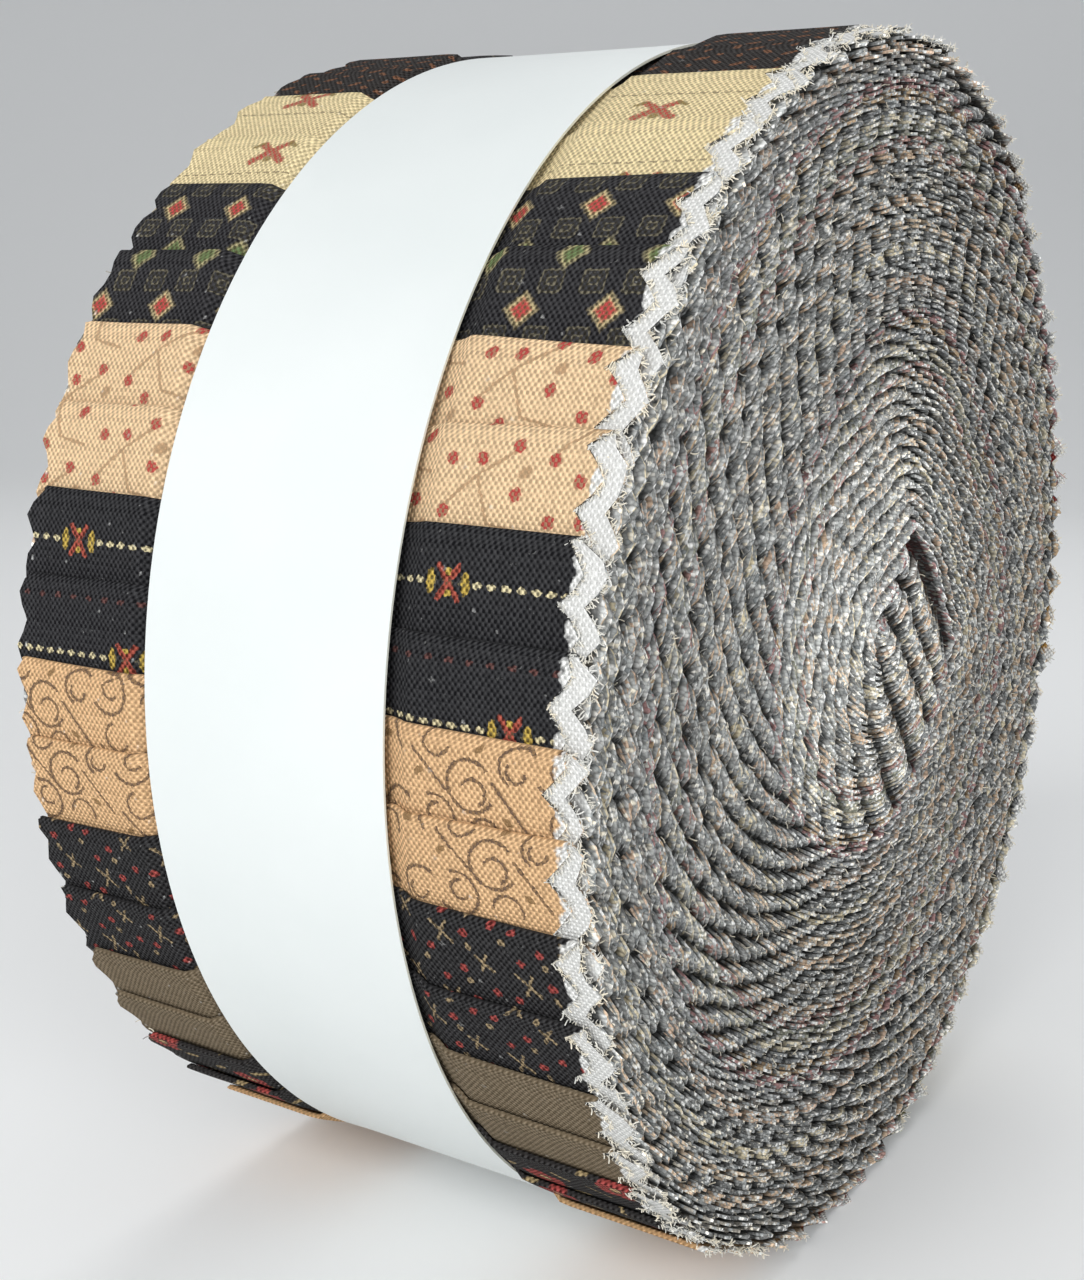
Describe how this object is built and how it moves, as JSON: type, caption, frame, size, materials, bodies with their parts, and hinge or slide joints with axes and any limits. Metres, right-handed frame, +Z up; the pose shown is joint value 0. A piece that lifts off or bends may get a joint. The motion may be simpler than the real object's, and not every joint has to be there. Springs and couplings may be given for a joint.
{
  "type": "roll of precut cotton fabric strips",
  "caption": "Wound roll of folded cotton strips with pinked edges in small prints, their free ends stepped round the outside, held by a bare white paper band.",
  "frame": {"origin": "middle of the roll's underside, on the surface that it lies on", "axes": "+X along the roll's axis, towards the face whose hub is pushed out a little; +Y to the back; +Z up"},
  "size_m": [0.0646, 0.132, 0.131],
  "materials": {
    "wound_cotton": "matt woven cotton, cut edges of all the prints and their pale wrong sides",
    "cream_bows": "matt printed cotton, cream with small red bows and dashed lines",
    "diamonds": "matt printed cotton, charcoal with red and green diamonds",
    "peach_dots": "matt printed cotton, peach with red dots and fine twigs",
    "dotted_stripes": "matt printed cotton, black with cream dotted lines and small crosses",
    "tan_scrolls": "matt printed cotton, tan with brown dotted scrolls",
    "black_specks": "matt printed cotton, black with red specks and beige twigs",
    "plain_brown": "matt dyed cotton, plain taupe brown",
    "black_blossoms": "matt printed cotton, black with beige leaves and red blossoms",
    "plain_tan": "matt dyed cotton, plain tan",
    "rust_checks": "matt printed cotton, rust with small checks",
    "olive_sprigs": "matt printed cotton, olive with beige sprigs",
    "cream_dots": "matt printed cotton, cream with brown dots",
    "navy_stars": "matt printed cotton, navy with small plain stars",
    "gold_leaves": "matt printed cotton, gold with brown leaves",
    "red_sprigs": "matt printed cotton, barn red with beige sprigs",
    "grey_ticking": "matt printed cotton, grey with fine stripes",
    "brown_leaves": "matt printed cotton, brown with tan leaves",
    "peach_stripes": "matt printed cotton, peach with fine stripes",
    "black_vines": "matt printed cotton, black with beige vines",
    "mottled_black": "matt printed cotton, black mottled with orange brown",
    "band_paper": "smooth white coated paper with a low gloss"
  },
  "bodies": {
    "root": {"wound_layers": "wound_cotton", "strip_01": "cream_bows", "strip_02": "cream_bows", "strip_03": "diamonds", "strip_04": "diamonds", "strip_05": "peach_dots", "strip_06": "peach_dots", "strip_07": "dotted_stripes", "strip_08": "dotted_stripes", "strip_09": "tan_scrolls", "strip_10": "tan_scrolls", "strip_11": "black_specks", "strip_12": "black_specks", "strip_13": "plain_brown", "strip_14": "plain_brown", "strip_15": "black_blossoms", "strip_16": "black_blossoms", "strip_17": "plain_tan", "strip_18": "plain_tan", "strip_19": "rust_checks", "strip_20": "rust_checks", "strip_21": "olive_sprigs", "strip_22": "olive_sprigs", "strip_23": "cream_dots", "strip_24": "cream_dots", "strip_25": "navy_stars", "strip_26": "navy_stars", "strip_27": "gold_leaves", "strip_28": "gold_leaves", "strip_29": "red_sprigs", "strip_30": "red_sprigs", "strip_31": "grey_ticking", "strip_32": "grey_ticking", "strip_33": "brown_leaves", "strip_34": "brown_leaves", "strip_35": "peach_stripes", "strip_36": "peach_stripes", "strip_37": "black_vines", "strip_38": "black_vines", "strip_39": "mottled_black", "strip_40": "mottled_black", "paper_band": "band_paper"}
  },
  "joints": []
}
